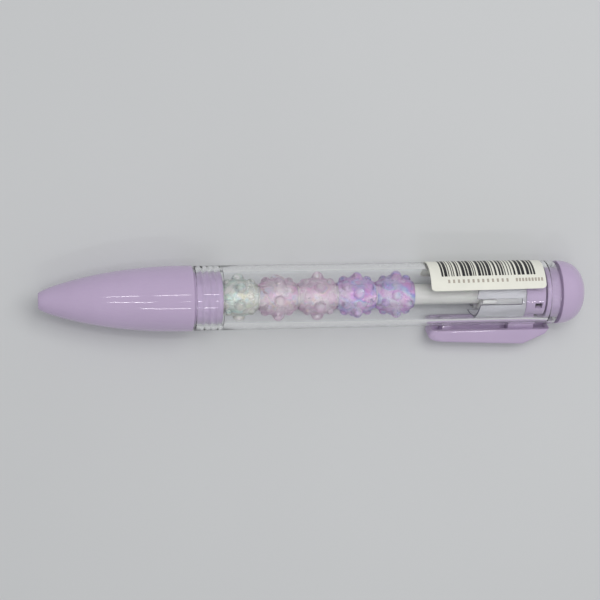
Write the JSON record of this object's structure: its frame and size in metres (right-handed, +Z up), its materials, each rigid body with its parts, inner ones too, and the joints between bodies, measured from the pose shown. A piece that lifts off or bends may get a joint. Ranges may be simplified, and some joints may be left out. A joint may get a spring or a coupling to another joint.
{
  "type": "retractable gel pen",
  "caption": "Retractable gel pen with an ogive grip nose, a clear barrel with bumpy beads on the refill, a sliding clip that clicks the tip out, and a domed end.",
  "frame": {"origin": "centre of the bounding box's base, on the surface that the pen lies on", "axes": "+X along the pen from the writing end to the domed end, +Z up, with the clip on the -Y side and turned down to the surface"},
  "size_m": [0.16, 0.0248, 0.0189],
  "materials": {
    "lavender_plastic": "moulded, satin gloss",
    "clear_plastic": "clear, polished",
    "sleeve_plastic": "clear, slightly frosted",
    "bead_clear": "clear acrylic with an iridescent coat",
    "bead_violet": "violet tinted acrylic with an iridescent coat",
    "cream_tube": "cream polypropylene",
    "white_plastic": "natural acetal",
    "ink": "black gel ink",
    "follower_grease": "clear amber grease",
    "steel": "bright drawn steel",
    "sticker_paper": "printed cream label paper"
  },
  "bodies": {
    "barrel_body": {"barrel": "clear_plastic", "end_plug": "lavender_plastic", "cam_sleeve": "sleeve_plastic", "barcode_sticker": "sticker_paper"},
    "nose": {"nose_cone": "lavender_plastic", "return_spring": "steel"},
    "clip_carriage": {"clip": "lavender_plastic", "thruster": "lavender_plastic"},
    "refill": {"refill_tube": "cream_tube", "gel_ink": "ink", "ink_follower": "follower_grease", "tip_holder": "white_plastic", "tip_cone": "steel", "cam_rotor": "white_plastic"},
    "ball": {"writing_ball": "steel"},
    "bead_body_1": {"bead_1": "bead_clear"},
    "bead_body_2": {"bead_2": "bead_clear"},
    "bead_body_3": {"bead_3": "bead_clear"},
    "bead_body_4": {"bead_4": "bead_violet"},
    "bead_body_5": {"bead_5": "bead_violet"}
  },
  "joints": [
    {"name": "nose_pull", "type": "slide", "parent": "barrel_body", "child": "nose", "axis": [-1, 0, 0], "range_m": [0, 0.03]},
    {"name": "clip_slide", "type": "slide", "parent": "barrel_body", "child": "clip_carriage", "axis": [-1, 0, 0], "range_m": [0, 0.006], "stiffness_N_per_m": 350},
    {"name": "refill_advance", "type": "slide", "parent": "barrel_body", "child": "refill", "axis": [-1, 0, 0], "range_m": [0, 0.006], "deforming": ["return_spring"]},
    {"name": "ball_roll", "type": "hinge", "parent": "refill", "child": "ball", "pos_m": [-0.0782, 0.00285, 0.00945], "axis": [0, 1, 0], "continuous": true},
    {"name": "bead_slide", "type": "slide", "parent": "barrel_body", "child": "bead_body_1", "axis": [1, 0, 0], "range_m": [0, 0.013]},
    {"name": "bead_2_spin", "type": "hinge", "parent": "bead_body_1", "child": "bead_body_2", "pos_m": [-0.01155, 0.00285, 0.00945], "axis": [1, 0, 0], "continuous": true},
    {"name": "bead_3_spin", "type": "hinge", "parent": "bead_body_1", "child": "bead_body_3", "pos_m": [-0.0001, 0.00285, 0.00945], "axis": [1, 0, 0], "continuous": true},
    {"name": "bead_4_spin", "type": "hinge", "parent": "bead_body_1", "child": "bead_body_4", "pos_m": [0.01135, 0.00285, 0.00945], "axis": [1, 0, 0], "continuous": true},
    {"name": "bead_5_spin", "type": "hinge", "parent": "bead_body_1", "child": "bead_body_5", "pos_m": [0.0228, 0.00285, 0.00945], "axis": [1, 0, 0], "continuous": true}
  ],
  "couplings": [
    {"joint": "refill_advance", "follows": "clip_slide", "ratio": 1},
    {"joint": "bead_3_spin", "follows": "bead_2_spin", "ratio": 1},
    {"joint": "bead_4_spin", "follows": "bead_2_spin", "ratio": 1},
    {"joint": "bead_5_spin", "follows": "bead_2_spin", "ratio": 1}
  ]
}
